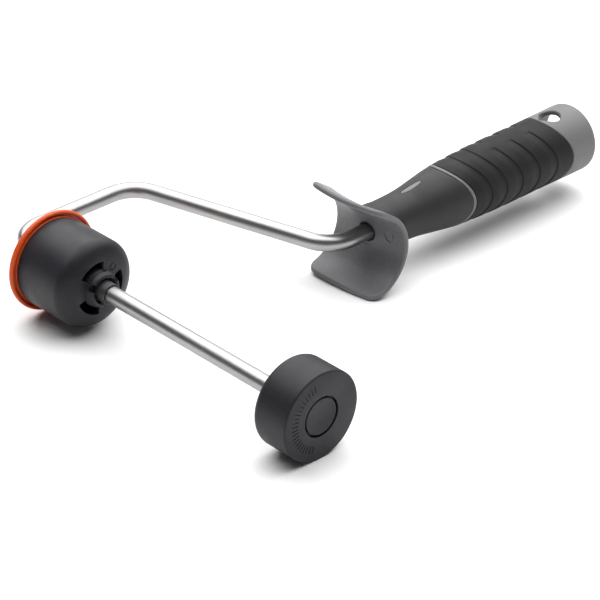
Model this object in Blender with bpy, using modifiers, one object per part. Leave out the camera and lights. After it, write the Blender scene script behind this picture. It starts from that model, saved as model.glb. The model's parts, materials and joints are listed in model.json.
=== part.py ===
"""Paint roller frame: bent rod, two turning hubs, splash guard and two-component handle.

Metres, +Z up. The origin is the middle of the frame's footprint, at the height of the flange ring's lowest
point. The axle runs along +X and the handle along +Y, both in one level plane.
"""
import math

import bmesh
import bpy
from mathutils import Matrix, Vector

MM = 0.001
GAP = 0.3 * MM                      # left between pieces that touch or press together

# Where the two centre lines lie
FLANGE_X = -70.9 * MM               # origin of the distances along the axle, inside the flange ring
AXLE_Y = -119.45 * MM
AXLE_Z = 24.03 * MM                 # the flange ring stands on one of its facets
HANDLE_X = FLANGE_X + 78.0 * MM     # handle's centre line

# Rod, in millimetres from the flange ring along X and from the axle along Y
ROD_RADIUS = 4.0 * MM
BEND_RADIUS = 16.0 * MM
ROD_END = 170.2 * MM
BACK_LEG = -29.2 * MM
ARM_START = 71.4 * MM
ARM_END = 99.9 * MM
ROD_DEPTH = 196.0 * MM

# Hubs
HUB_RADIUS = 21.2 * MM
HUB_NOSE = 34.5 * MM
NOSE_DEPTH = 7.1 * MM
NOSE_RISE = 11.0 * MM
HUB_WALL = 2.2 * MM
HUB_BORE = 6.2 * MM
HUB_TUBE = 8.4 * MM                 # outside of the tube that holds the bushes
HUB_REAR = 0.5 * MM
SKIRT_RADIUS = 20.1 * MM            # the turned-down rear end that the flange ring fits over
SKIRT_END = 2.1 * MM
COLLAR_BASE = 8.8 * MM
COLLAR_TOP = 7.7 * MM
COLLAR_START = 35.2 * MM
COLLAR_END = 38.2 * MM
COLLAR_CHAMFER = 0.5 * MM
WINDOW_INNER = 8.95 * MM
WINDOW_OUTER = 12.7 * MM
WINDOW_ANGLES = (111, 231, 351)
WINDOW_SPAN = 64
NOTCH_ANGLES = (152, 32, 272)
NOTCH_SIZE = (3.4 * MM, 5.2 * MM, 5.0 * MM)
NOTCH_RADIUS = 6.8 * MM
FLANGE_RADIUS = 24.1 * MM
FLANGE_FRONT = 1.6 * MM
FLANGE_REAR = -0.7 * MM
FLANGE_BEAD = 1.1 * MM
FLANGE_STEP = 22.4 * MM             # the bead's inner side, across a narrow groove from the lip
FLANGE_GROOVE = 0.3 * MM            # the groove's floor
FLANGE_LIP = 21.2 * MM
LIP_BORE = 20.4 * MM
LIP_END = 1.8 * MM
WEB_RADIUS = 20.7 * MM
WEB_FRONT = 0.2 * MM
WEB_REAR = -1.7 * MM
WEB_BORE = 6.5 * MM
END_RADIUS = 20.6 * MM
END_FACE = 174.9 * MM
END_REAR = 155.4 * MM
END_EDGE = 0.8 * MM
END_REAR_EDGE = (2.6 * MM, 3.0 * MM)
END_WALL = 3.2 * MM
END_DISC = 2.7 * MM
END_BORE = 5.65 * MM
END_TUBE = 8.3 * MM
END_TUBE_REAR = 156.2 * MM
NUT_BAY = 7.2 * MM
NUT_BAY_REAR = 165.9 * MM
PLUG_RADIUS = 8.4 * MM
PLUG_HOLE = 9.35 * MM
PLUG_SEAT = 172.8 * MM
PLUG_FACE = 174.7 * MM
PLUG_NECK = 6.9 * MM
PLUG_NECK_BORE = 5.4 * MM
PLUG_NECK_REAR = 170.7 * MM
RIB_COUNT = 6
RIB_SIZE = (1.4 * MM, 10.0 * MM, 13.0 * MM)
RIB_RADIUS = 12.9 * MM
RIB_MIDDLE = 166.0 * MM

# Splash guard: a sheet bent round a line along X, with straight flares above and below the bend. Its sides
# are swept back towards the hand, more so at the top, and it sits slightly skewed on the rod.
GUARD_WIDTH = 43.8 * MM
GUARD_THICKNESS = 2.8 * MM
GUARD_ARC = 20.3 * MM               # to the middle of the sheet
GUARD_CENTRE_Y = 103.25 * MM
GUARD_CENTRE_Z = -0.75 * MM
GUARD_ARC_TOP = math.radians(55.5)
GUARD_ARC_BOTTOM = math.radians(-71.3)
GUARD_FLARE_TOP = 12.5 * MM
GUARD_FLARE_BOTTOM = 6.4 * MM
GUARD_CORNER_TOP = 4.6 * MM
GUARD_CORNER_BOTTOM = 5.3 * MM
GUARD_SWEEP = (3.9, 2.0)            # in metres for each square metre: at the bottom, and added at the top
GUARD_SKEW = 0.036                  # metres back for each metre towards +X
GUARD_HOLE = 4.75 * MM
GUARD_SPIGOT = 7.2 * MM             # a short collar behind the sheet that plugs into the handle
GUARD_SPIGOT_END = 133.0 * MM

# Handle, stations measured from the axle along Y
HANDLE_STATIONS = ((126, 11.9), (133, 11.5), (147, 12.0), (158, 13.5), (170, 15.2), (182, 16.1),
                   (201, 16.7), (232, 16.85), (258, 17.2))
BUTT_END = 263.0 * MM
BUTT_ROUND = (1.2 * MM, 2.6 * MM)   # radially and along the handle
BUTT_CYLINDER = 252.0 * MM          # the handle is straight from here to its end
TONGUE = 8.2 * MM                   # how far the grip's seams bulge backwards at the sides
RIDGE = 169.6 * MM
RIDGE_WIDTH = 1.7 * MM
BUTT_SEAM = 238.2 * MM
GRIP_DEPTH = 2.3 * MM
GROOVES = (181.0, 191.0, 202.0, 214.0, 226.5)
GROOVE_DEPTH = 0.6 * MM
LOZENGE_Y = 150.4 * MM
LOZENGE_LENGTH = 13.0 * MM
LOZENGE_WIDTH = 2.6 * MM
SOCKET_BORE = 12.7 * MM
SOCKET_BORE_END = 240.0 * MM
SOCKET_MOUTH = 14.9 * MM
SOCKET_MOUTH_START = 250.0 * MM
SOCKET_CHAMFER = (0.4 * MM, 0.6 * MM)
SOCKET_FLOOR = 206.0 * MM
ROD_CHANNEL = 4.35 * MM
ROD_CHANNEL_START = 133.6 * MM
FERRULE_BAY = 6.9 * MM
FERRULE_BAY_START = 168.0 * MM
FERRULE = (4.25 * MM, 6.6 * MM, 170.0 * MM, 192.0 * MM)
LOZENGE_ROOT = 7.5 * MM
GRIP_SEAT = 11.5 * MM
GRIP_SEAT_INNER = 9.8 * MM
GROOVE_RUN = 4.8 * MM
GROOVE_STEP = 0.6 * MM
HANGING_HOLE_Y = 246.4 * MM
HANGING_HOLE_RADIUS = 5.2 * MM
HANGING_HOLE_TIP = 7.6 * MM

ROUND_STEPS = 40
SMALL_STEPS = 24
HANDLE_STEPS = 32

COLOURS = {
    "rod_steel": ((0.72, 0.72, 0.71), 0.22, 1.0),
    "hub_plastic": ((0.050, 0.052, 0.060), 0.55, 0.0),
    "flange_orange": ((0.78, 0.11, 0.02), 0.45, 0.0),
    "guard_grey": ((0.20, 0.20, 0.21), 0.50, 0.0),
    "core_grey": ((0.36, 0.36, 0.37), 0.50, 0.0),
    "soft_grey": ((0.075, 0.075, 0.078), 0.60, 0.0),
    "rubber_black": ((0.022, 0.021, 0.021), 0.70, 0.0),
    "bearing_nylon": ((0.035, 0.035, 0.037), 0.45, 0.0),
    "spring_steel": ((0.45, 0.45, 0.44), 0.35, 1.0),
}


def clear_scene():
    for item in list(bpy.data.objects):
        bpy.data.objects.remove(item, do_unlink=True)


def make_collection(name):
    group = bpy.data.collections.new(name)
    bpy.context.scene.collection.children.link(group)
    return group


def make_material(name):
    colour, roughness, metallic = COLOURS[name]
    material = bpy.data.materials.new(name)
    material.use_nodes = True
    shader = material.node_tree.nodes["Principled BSDF"]
    shader.inputs["Base Color"].default_value = (*colour, 1.0)
    shader.inputs["Roughness"].default_value = roughness
    shader.inputs["Metallic"].default_value = metallic
    return material


clear_scene()
PARTS = make_collection("paint_roller_frame")
CUTTERS = make_collection("cutters")
MATERIALS = {name: make_material(name) for name in COLOURS}


def make_empty(name, location, rotation):
    empty = bpy.data.objects.new(name, None)
    empty.location = location
    empty.rotation_euler = rotation
    PARTS.objects.link(empty)
    return empty


# Local +Z of the axle empty is the world's +X, and of the handle empty the world's +Y.
AXLE = make_empty("axle_line", (FLANGE_X, AXLE_Y, AXLE_Z), (0, math.pi / 2, 0))
HANDLE = make_empty("handle_line", (HANDLE_X, AXLE_Y, AXLE_Z), (-math.pi / 2, 0, 0))
BODY = make_empty("frame_line", (FLANGE_X, AXLE_Y, AXLE_Z), (0, 0, 0))


def add_part(name, mesh, material, parent):
    part = bpy.data.objects.new(name, mesh)
    mesh.name = name
    mesh.materials.clear()
    mesh.materials.append(MATERIALS[material])
    part.parent = parent
    PARTS.objects.link(part)
    return part


def add_cutter(name, mesh, parent):
    cutter = bpy.data.objects.new(name, mesh)
    cutter.parent = parent
    cutter.hide_render = True
    cutter.display_type = "WIRE"
    CUTTERS.objects.link(cutter)
    return cutter


def smooth(mesh, angle=35):
    mesh.shade_smooth()
    mesh.set_sharp_from_angle(angle=math.radians(angle))


def boolean(part, cutter, operation="DIFFERENCE"):
    modifier = part.modifiers.new(cutter.name, "BOOLEAN")
    modifier.operation = operation
    modifier.solver = "EXACT"
    modifier.object = cutter


def profile_mesh(name, profile, steps):
    """A closed outline of (radius, height) points, turned by half a step so that a facet faces local +X."""
    mesh = bpy.data.meshes.new(name)
    count = len(profile)
    edges = [(i, (i + 1) % count) for i in range(count)]
    turn = math.pi / steps
    mesh.from_pydata([(radius * math.cos(turn), radius * math.sin(turn), height) for radius, height in profile],
                     edges, [])
    return mesh


def spin(part, steps):
    modifier = part.modifiers.new("spin", "SCREW")
    modifier.steps = steps
    modifier.render_steps = steps
    modifier.use_merge_vertices = True
    modifier.merge_threshold = 0.00001
    modifier.use_smooth_shade = True


def turned(name, profile, material, parent=AXLE, steps=ROUND_STEPS):
    part = add_part(name, profile_mesh(name, profile, steps), material, parent)
    spin(part, steps)
    return part


def arc(centre, radii, start, end, steps):
    """Points of an elliptical arc in (radius, height), angles in degrees from the radius axis."""
    points = []
    for i in range(steps + 1):
        angle = math.radians(start + (end - start) * i / steps)
        points.append((centre[0] + radii[0] * math.cos(angle), centre[1] + radii[1] * math.sin(angle)))
    return points


def mm(*points):
    return [(a * MM, b * MM) for a, b in points]


def box_mesh(name, boxes):
    """One mesh of separate boxes, each (centre, size, turn about Z in radians)."""
    builder = bmesh.new()
    for centre, size, turn in boxes:
        made = bmesh.ops.create_cube(builder, size=1.0)["verts"]
        bmesh.ops.scale(builder, vec=size, verts=made)
        bmesh.ops.translate(builder, vec=centre, verts=made)
        bmesh.ops.rotate(builder, cent=(0, 0, 0), matrix=Matrix.Rotation(turn, 3, "Z"), verts=made)
    mesh = bpy.data.meshes.new(name)
    builder.to_mesh(mesh)
    builder.free()
    return mesh


def flat_prism(name, outline, half_thickness):
    """A flat outline in the XY plane, thickened both ways along Z."""
    curve = bpy.data.curves.new(name, "CURVE")
    curve.dimensions = "2D"
    curve.fill_mode = "BOTH"
    curve.extrude = half_thickness
    spline = curve.splines.new("POLY")
    spline.points.add(len(outline) - 1)
    for point, (x, y) in zip(spline.points, outline):
        point.co = (x, y, 0, 1)
    spline.use_cyclic_u = True
    return curve_to_mesh(name, curve)


def curve_to_mesh(name, curve):
    holder = bpy.data.objects.new(name, curve)
    CUTTERS.objects.link(holder)
    bpy.context.view_layer.update()
    evaluated = holder.evaluated_get(bpy.context.evaluated_depsgraph_get())
    mesh = bpy.data.meshes.new_from_object(evaluated)
    bpy.data.objects.remove(holder, do_unlink=True)
    builder = bmesh.new()
    builder.from_mesh(mesh)
    bmesh.ops.remove_doubles(builder, verts=builder.verts, dist=0.000005)
    bmesh.ops.recalc_face_normals(builder, faces=builder.faces)
    builder.to_mesh(mesh)
    builder.free()
    return mesh


def loft(name, rings):
    """A closed skin through a loop of rings, each a closed list of points; the last ring meets the first."""
    builder = bmesh.new()
    rows = [[builder.verts.new(point) for point in points] for points in rings]
    count = len(rows[0])
    for near, far in zip(rows, rows[1:] + rows[:1]):
        for i in range(count):
            j = (i + 1) % count
            builder.faces.new((near[i], near[j], far[j], far[i]))
    bmesh.ops.recalc_face_normals(builder, faces=builder.faces)
    mesh = bpy.data.meshes.new(name)
    builder.to_mesh(mesh)
    builder.free()
    smooth(mesh)
    return mesh


# ---------------------------------------------------------------------------------------------------------
# Rod

def rounded_path(corners, radius, steps):
    """Straight runs through the corners, with an arc of the given radius at each inner corner."""
    path = [corners[0]]
    for before, corner, after in zip(corners, corners[1:], corners[2:]):
        back = (before - corner).normalized()
        ahead = (after - corner).normalized()
        half = back.angle(ahead) / 2
        centre = corner + (back + ahead).normalized() * radius / math.sin(half)
        start = corner + back * radius / math.tan(half) - centre
        end = corner + ahead * radius / math.tan(half) - centre
        turn = start.angle(end)
        for i in range(steps + 1):
            share = i / steps
            spoke = (start * math.sin((1 - share) * turn) + end * math.sin(share * turn)) / math.sin(turn)
            path.append(centre + spoke)
    path.append(corners[-1])
    return path


def make_rod():
    handle_x = HANDLE_X - FLANGE_X
    corners = [Vector((ROD_END, 0, 0)), Vector((BACK_LEG, 0, 0)), Vector((BACK_LEG, ARM_START, 0)),
               Vector((handle_x, ARM_END, 0)), Vector((handle_x, ROD_DEPTH, 0))]
    curve = bpy.data.curves.new("rod", "CURVE")
    curve.dimensions = "3D"
    curve.bevel_depth = ROD_RADIUS
    curve.bevel_resolution = 5
    curve.use_fill_caps = True
    path = rounded_path(corners, BEND_RADIUS, 7)
    spline = curve.splines.new("POLY")
    spline.points.add(len(path) - 1)
    for point, place in zip(spline.points, path):
        point.co = (*place, 1)
    mesh = curve_to_mesh("rod", curve)
    smooth(mesh)
    add_part("rod", mesh, "rod_steel", BODY)


# ---------------------------------------------------------------------------------------------------------
# Large hub

def sector(inner, outer, centre_angle, span, low, high, name):
    """A curved window cutter. Angles are measured from the world's +Y towards +Z, seen along the axle."""
    steps = 8
    outline = []
    for radius, direction in ((inner, 1), (outer, -1)):
        for i in range(steps + 1):
            turn = math.radians(centre_angle + direction * span * (i / steps - 0.5))
            outline.append((-radius * math.sin(turn), radius * math.cos(turn)))
    mesh = flat_prism(name, outline, (high - low) / 2)
    for vertex in mesh.vertices:
        vertex.co.z += (high + low) / 2
    return add_cutter(name, mesh, AXLE)


def make_inner_hub():
    nose_centre = (HUB_RADIUS - NOSE_RISE, HUB_NOSE - NOSE_DEPTH)
    inside_radius = HUB_RADIUS - HUB_WALL
    profile = [(HUB_BORE + COLLAR_CHAMFER, COLLAR_END), (COLLAR_TOP, COLLAR_END), (COLLAR_BASE, COLLAR_START),
               (COLLAR_BASE, HUB_NOSE)]
    profile += arc(nose_centre, (NOSE_RISE, NOSE_DEPTH), 90, 0, 8)
    profile += [(HUB_RADIUS, SKIRT_END), (SKIRT_RADIUS, SKIRT_END), (SKIRT_RADIUS, HUB_REAR),
                (inside_radius, HUB_REAR)]
    profile += arc(nose_centre, (NOSE_RISE - HUB_WALL, NOSE_DEPTH - HUB_WALL), 0, 90, 6)
    profile += [(HUB_TUBE, HUB_NOSE - HUB_WALL), (HUB_TUBE, HUB_REAR), (HUB_BORE, HUB_REAR),
                (HUB_BORE, COLLAR_END - COLLAR_CHAMFER)]
    hub = turned("inner_hub", profile, "hub_plastic")
    for i, angle in enumerate(WINDOW_ANGLES):
        boolean(hub, sector(WINDOW_INNER, WINDOW_OUTER, angle, WINDOW_SPAN, 30 * MM, 36 * MM, f"window_{i}"))
    notches = []
    for angle in NOTCH_ANGLES:
        notches.append(((0, NOTCH_RADIUS, COLLAR_END), NOTCH_SIZE, math.radians(angle)))
    boolean(hub, add_cutter("collar_notches", box_mesh("collar_notches", notches), AXLE))


def make_flange_ring():
    bead = (FLANGE_BEAD, FLANGE_BEAD)
    profile = [(LIP_BORE, LIP_END), (FLANGE_LIP, LIP_END), (FLANGE_LIP, FLANGE_GROOVE),
               (FLANGE_STEP, FLANGE_GROOVE), (FLANGE_STEP, FLANGE_FRONT)]
    profile += arc((FLANGE_RADIUS - FLANGE_BEAD, FLANGE_FRONT - FLANGE_BEAD), bead, 90, 0, 4)
    profile += arc((FLANGE_RADIUS - FLANGE_BEAD, FLANGE_REAR + FLANGE_BEAD), bead, 0, -90, 4)
    profile += [(WEB_RADIUS, FLANGE_REAR), (WEB_RADIUS, WEB_REAR), (WEB_BORE, WEB_REAR), (WEB_BORE, WEB_FRONT),
                (LIP_BORE, WEB_FRONT)]
    turned("flange_ring", profile, "flange_orange")


def flanged_bush(name, bore, body, flange, low, seat, high):
    """A plain bush with a flange at its lower end; all in millimetres."""
    profile = mm((body, high), (body, seat), (flange, seat), (flange, low), (bore, low), (bore, high))
    turned(name, profile, "bearing_nylon", AXLE, SMALL_STEPS)


def washer(name, bore, outer, low, high, material="spring_steel"):
    """A plain washer, clip or tube on the axle; all in millimetres."""
    profile = mm((outer, high), (outer, low), (bore, low), (bore, high))
    turned(name, profile, material, AXLE, SMALL_STEPS)


def make_inner_bearings():
    washer("axle_sleeve", bore=4.2, outer=4.9, low=-2.6, high=42.4, material="bearing_nylon")
    flanged_bush("inner_bush_rear", bore=5.1, body=5.95, flange=8.2, low=-2.6, seat=-2.0, high=14.0)
    washer("inner_bush_front", bore=5.1, outer=5.95, low=20.0, high=34.0, material="bearing_nylon")
    washer("thrust_washer_rear", bore=4.2, outer=8.0, low=-3.9, high=-2.9)
    washer("retainer_rear", bore=4.2, outer=6.8, low=-5.2, high=-4.2)
    washer("retainer_front", bore=5.1, outer=5.85, low=34.4, high=35.4)


# ---------------------------------------------------------------------------------------------------------
# End hub

def make_end_hub():
    depth, height = END_REAR_EDGE
    profile = [(PLUG_HOLE, END_FACE)]
    profile += arc((END_RADIUS - END_EDGE, END_FACE - END_EDGE), (END_EDGE, END_EDGE), 90, 0, 3)
    profile += arc((END_RADIUS - depth, END_REAR + height), END_REAR_EDGE, 0, -90, 5)
    inside_radius = END_RADIUS - END_WALL
    profile += [(inside_radius, END_REAR), (inside_radius, END_FACE - END_DISC), (END_TUBE, END_FACE - END_DISC),
                (END_TUBE, END_TUBE_REAR), (END_BORE, END_TUBE_REAR), (END_BORE, NUT_BAY_REAR),
                (NUT_BAY, NUT_BAY_REAR), (NUT_BAY, PLUG_SEAT), (PLUG_HOLE, PLUG_SEAT)]
    hub = turned("end_hub", profile, "hub_plastic")
    ribs = [((0, RIB_RADIUS, RIB_MIDDLE), RIB_SIZE, 2 * math.pi * i / RIB_COUNT) for i in range(RIB_COUNT)]
    boolean(hub, add_cutter("end_ribs", box_mesh("end_ribs", ribs), AXLE), "UNION")


def make_end_plug():
    """A push-in cap: a disc with a short neck that snaps into the hub's nut bay."""
    underside = PLUG_SEAT + GAP
    chamfer = 0.2 * MM
    recess = underside - chamfer
    profile = [(PLUG_RADIUS - chamfer, PLUG_FACE), (PLUG_RADIUS, PLUG_FACE - chamfer), (PLUG_RADIUS, underside),
               (PLUG_NECK, underside), (PLUG_NECK, PLUG_NECK_REAR), (PLUG_NECK_BORE, PLUG_NECK_REAR),
               (PLUG_NECK_BORE, recess), (0, recess), (0, PLUG_FACE)]
    turned("end_plug", profile, "hub_plastic")


def make_end_bearings():
    flanged_bush("end_bush_rear", bore=4.2, body=5.35, flange=7.8, low=155.0, seat=155.9, high=160.4)
    washer("end_bush_front", bore=4.2, outer=5.35, low=160.8, high=167.2, material="bearing_nylon")
    washer("end_thrust_washer", bore=4.2, outer=6.6, low=167.6, high=168.4)
    washer("end_push_nut", bore=4.2, outer=6.6, low=168.8, high=169.8)


# ---------------------------------------------------------------------------------------------------------
# Splash guard

def guard_sweep(across, z):
    """How far the sheet lies back from its middle line at a height above the axle."""
    low, added = GUARD_SWEEP
    height = max((z + AXLE_Z) / (2 * AXLE_Z), 0)
    return (low + added * height) * across ** 2 + GUARD_SKEW * across


def guard_point(across, along):
    """A point of the sheet's middle: across is along X, along is round the bend from its level point."""
    top, bottom = GUARD_ARC * GUARD_ARC_TOP, GUARD_ARC * GUARD_ARC_BOTTOM
    angle = min(max(along, bottom), top) / GUARD_ARC
    flare = max(along - top, 0) + min(along - bottom, 0)
    y = GUARD_CENTRE_Y + GUARD_ARC * math.cos(angle) - flare * math.sin(angle)
    z = GUARD_CENTRE_Z + GUARD_ARC * math.sin(angle) + flare * math.cos(angle)
    return (HANDLE_X - FLANGE_X + across, y + guard_sweep(across, z), z)


def guard_rows(low, high):
    """Distances round the bend, closer together at the rounded corners, each with its half width."""
    corner_steps, middle_steps = 4, 14
    rows = []
    for i in range(corner_steps):
        turn = math.pi / 2 * i / corner_steps
        rows.append((low + GUARD_CORNER_BOTTOM * (1 - math.cos(turn)),
                     GUARD_WIDTH / 2 - GUARD_CORNER_BOTTOM * (1 - math.sin(turn))))
    start, stop = low + GUARD_CORNER_BOTTOM, high - GUARD_CORNER_TOP
    for i in range(middle_steps + 1):
        rows.append((start + (stop - start) * i / middle_steps, GUARD_WIDTH / 2))
    for i in reversed(range(corner_steps)):
        turn = math.pi / 2 * i / corner_steps
        rows.append((high - GUARD_CORNER_TOP * (1 - math.cos(turn)),
                     GUARD_WIDTH / 2 - GUARD_CORNER_TOP * (1 - math.sin(turn))))
    return rows


def make_splash_guard():
    low = GUARD_ARC * GUARD_ARC_BOTTOM - GUARD_FLARE_BOTTOM
    high = GUARD_ARC * GUARD_ARC_TOP + GUARD_FLARE_TOP
    columns = 10
    builder = bmesh.new()
    grid = []
    for along, half in guard_rows(low, high):
        grid.append([builder.verts.new(guard_point(half * (2 * j / columns - 1), along))
                     for j in range(columns + 1)])
    for near, far in zip(grid, grid[1:]):
        for j in range(columns):
            builder.faces.new((near[j], near[j + 1], far[j + 1], far[j]))
    bmesh.ops.recalc_face_normals(builder, faces=builder.faces)
    mesh = bpy.data.meshes.new("splash_guard")
    builder.to_mesh(mesh)
    builder.free()
    smooth(mesh)
    guard = add_part("splash_guard", mesh, "guard_grey", BODY)
    shell = guard.modifiers.new("thickness", "SOLIDIFY")
    shell.thickness = GUARD_THICKNESS
    shell.offset = 0
    sheet_middle = GUARD_CENTRE_Y + GUARD_ARC
    boolean(guard, round_cutter("guard_spigot", GUARD_SPIGOT, sheet_middle, GUARD_SPIGOT_END), "UNION")
    hole_reach = 4 * MM
    boolean(guard, round_cutter("guard_hole", GUARD_HOLE, sheet_middle - hole_reach,
                                GUARD_SPIGOT_END + hole_reach))


def round_cutter(name, radius, low, high):
    """A solid cylinder on the handle's line."""
    profile = [(radius, high), (radius, low), (0, low), (0, high)]
    cutter = add_cutter(name, profile_mesh(name, profile, SMALL_STEPS), HANDLE)
    spin(cutter, SMALL_STEPS)
    return cutter


# ---------------------------------------------------------------------------------------------------------
# Handle. Its skins are lofted in the handle empty's frame: +Z along the handle, +X across, -Y upwards.


def handle_radius(along):
    """Outer radius of the handle, a smooth curve through its stations."""
    stations = [(y * MM, r * MM) for y, r in HANDLE_STATIONS]
    if along <= stations[0][0]:
        return stations[0][1]
    if along >= stations[-1][0]:
        return stations[-1][1]
    k = max(i for i, (y, _) in enumerate(stations[:-1]) if y <= along)
    (y0, r0), (y1, r1) = stations[k], stations[k + 1]
    before = stations[max(k - 1, 0)]
    after = stations[min(k + 2, len(stations) - 1)]
    slope0 = (r1 - before[1]) / (y1 - before[0])
    slope1 = (after[1] - r0) / (after[0] - y0)
    t = (along - y0) / (y1 - y0)
    span = y1 - y0
    return ((2 * t ** 3 - 3 * t ** 2 + 1) * r0 + (t ** 3 - 2 * t ** 2 + t) * span * slope0
            + (3 * t ** 2 - 2 * t ** 3) * r1 + (t ** 3 - t ** 2) * span * slope1)


def tongue(along):
    """A seam that starts at a distance along the top and bulges backwards at both sides."""
    return lambda angle: along + TONGUE * math.cos(angle) ** 2


def square(along):
    return lambda angle: along


def guard_seat(clearance, radius):
    """The front edge of a skin, following the back of the splash guard."""
    def place(angle):
        across, up = radius * math.cos(angle), radius * math.sin(angle)
        back = GUARD_ARC + GUARD_THICKNESS / 2
        depth = GUARD_CENTRE_Y + math.sqrt(back ** 2 - (up - GUARD_CENTRE_Z) ** 2)
        return depth + guard_sweep(across, up) + clearance
    return place


def blend(first, second, amount):
    return lambda angle: first(angle) * (1 - amount) + second(angle) * amount


def handle_ring(place, radius):
    """A ring of points; place gives the distance along for an angle, radius the radius for a distance."""
    points = []
    for i in range(HANDLE_STEPS):
        angle = 2 * math.pi * i / HANDLE_STEPS
        along = place(angle)
        size = radius(along)
        points.append((size * math.cos(angle), -size * math.sin(angle), along))
    return points


def inside(depth):
    return lambda along: handle_radius(along) - depth


def fixed(radius):
    return lambda along: radius


def make_handle_core():
    seat = guard_seat(GAP, GUARD_SPIGOT)
    ridge_front, ridge_rear = tongue(RIDGE - RIDGE_WIDTH / 2), tongue(RIDGE + RIDGE_WIDTH / 2)
    rings = [handle_ring(seat, inside(GRIP_DEPTH))]
    rings += [handle_ring(blend(seat, ridge_front, i / 6), inside(GRIP_DEPTH)) for i in range(1, 7)]
    rings += [handle_ring(ridge_front, inside(0)), handle_ring(ridge_rear, inside(0))]
    butt_front = tongue(BUTT_SEAM)
    rings += [handle_ring(blend(ridge_rear, butt_front, i / 6), inside(GRIP_DEPTH)) for i in range(7)]
    rings += [handle_ring(butt_front, inside(0)), handle_ring(square(BUTT_CYLINDER), inside(0))]
    depth, height = BUTT_ROUND
    for radius, along in arc((handle_radius(BUTT_END) - depth, BUTT_END - height), BUTT_ROUND, 0, 90, 5):
        rings.append(handle_ring(square(along), fixed(radius)))
    chamfer_depth, chamfer_height = SOCKET_CHAMFER
    spigot_bore = GUARD_SPIGOT + GAP
    bore = [(SOCKET_MOUTH + chamfer_depth, BUTT_END), (SOCKET_MOUTH, BUTT_END - chamfer_height),
            (SOCKET_MOUTH, SOCKET_MOUTH_START), (SOCKET_BORE, SOCKET_BORE_END), (SOCKET_BORE, SOCKET_FLOOR),
            (FERRULE_BAY, SOCKET_FLOOR), (FERRULE_BAY, FERRULE_BAY_START), (ROD_CHANNEL, FERRULE_BAY_START),
            (ROD_CHANNEL, ROD_CHANNEL_START), (spigot_bore, ROD_CHANNEL_START)]
    rings += [handle_ring(square(along), fixed(radius)) for radius, along in bore]
    rings.append(handle_ring(seat, fixed(spigot_bore)))
    core = add_part("handle_core", loft("handle_core", rings), "core_grey", HANDLE)
    boolean(core, add_cutter("lozenge", lozenge_mesh("lozenge", 0, 0), HANDLE), "UNION")
    boolean(core, add_cutter("hanging_hole", teardrop_mesh("hanging_hole"), BODY))


def lozenge_mesh(name, margin, rise):
    """A long oval peg that stands on the core and ends flush with the handle's top surface."""
    steps = 24
    builder = bmesh.new()
    floors, tops = [], []
    for i in range(steps):
        turn = 2 * math.pi * i / steps
        across = (LOZENGE_WIDTH / 2 + margin) * math.cos(turn)
        along = LOZENGE_Y + (LOZENGE_LENGTH / 2 + margin) * math.sin(turn)
        floors.append(builder.verts.new((across, -LOZENGE_ROOT, along)))
        tops.append(builder.verts.new((across, -(handle_radius(along) + rise), along)))
    builder.faces.new(floors)
    builder.faces.new(list(reversed(tops)))
    for i in range(steps):
        j = (i + 1) % steps
        builder.faces.new((floors[i], tops[i], tops[j], floors[j]))
    bmesh.ops.recalc_face_normals(builder, faces=builder.faces)
    mesh = bpy.data.meshes.new(name)
    builder.to_mesh(mesh)
    builder.free()
    return mesh


def teardrop_mesh(name):
    """A round hole drawn out to a point on the side of the guard, through the butt from top to bottom."""
    reach = math.acos(HANGING_HOLE_RADIUS / HANGING_HOLE_TIP)
    steps = 20
    centre_x = HANDLE_X - FLANGE_X
    outline = [(centre_x, HANGING_HOLE_Y - HANGING_HOLE_TIP)]
    for i in range(steps + 1):
        turn = -math.pi / 2 + reach + (2 * math.pi - 2 * reach) * i / steps
        outline.append((centre_x + HANGING_HOLE_RADIUS * math.cos(turn),
                        HANGING_HOLE_Y + HANGING_HOLE_RADIUS * math.sin(turn)))
    return flat_prism(name, outline, 25 * MM)


def make_front_grip():
    outer_seat = guard_seat(GAP, GRIP_SEAT)
    inner_seat = guard_seat(GAP, GRIP_SEAT_INNER)
    rear = tongue(RIDGE - RIDGE_WIDTH / 2 - GAP)
    outer_stops, inner_stops = 9, 5
    outer = [handle_ring(blend(outer_seat, rear, i / outer_stops), inside(0)) for i in range(outer_stops + 1)]
    inner_depth = GRIP_DEPTH - GAP
    inner = [handle_ring(blend(rear, inner_seat, i / inner_stops), inside(inner_depth))
             for i in range(inner_stops + 1)]
    grip = add_part("front_grip", loft("front_grip", outer + inner), "soft_grey", HANDLE)
    boolean(grip, add_cutter("lozenge_window", lozenge_mesh("lozenge_window", GAP, 2 * MM), HANDLE))


def make_rear_grip():
    front = RIDGE + RIDGE_WIDTH / 2 + GAP
    rear = BUTT_SEAM - GAP
    stops = [(front, 0)]
    for groove in GROOVES:
        bottom = groove * MM
        stops += [(bottom - GROOVE_RUN, 0), (bottom, GROOVE_DEPTH), (bottom + GROOVE_STEP, 0)]
    stops.append((rear, 0))
    outer = [handle_ring(tongue(along), inside(depth)) for along, depth in stops]
    inner_depth = GRIP_DEPTH - GAP
    inner = [handle_ring(tongue(rear + (front - rear) * i / 4), inside(inner_depth)) for i in range(5)]
    add_part("rear_grip", loft("rear_grip", outer + inner), "rubber_black", HANDLE)


def make_ferrule():
    """The crimped sleeve on the rod's end that keeps the handle from being pulled off."""
    bore, outer, low, high = FERRULE
    profile = [(outer, high), (outer, low), (bore, low), (bore, high)]
    turned("rod_ferrule", profile, "spring_steel", HANDLE, SMALL_STEPS)


make_rod()
make_inner_hub()
make_flange_ring()
make_inner_bearings()
make_end_hub()
make_end_plug()
make_end_bearings()
make_splash_guard()
make_handle_core()
make_front_grip()
make_rear_grip()
make_ferrule()
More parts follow.
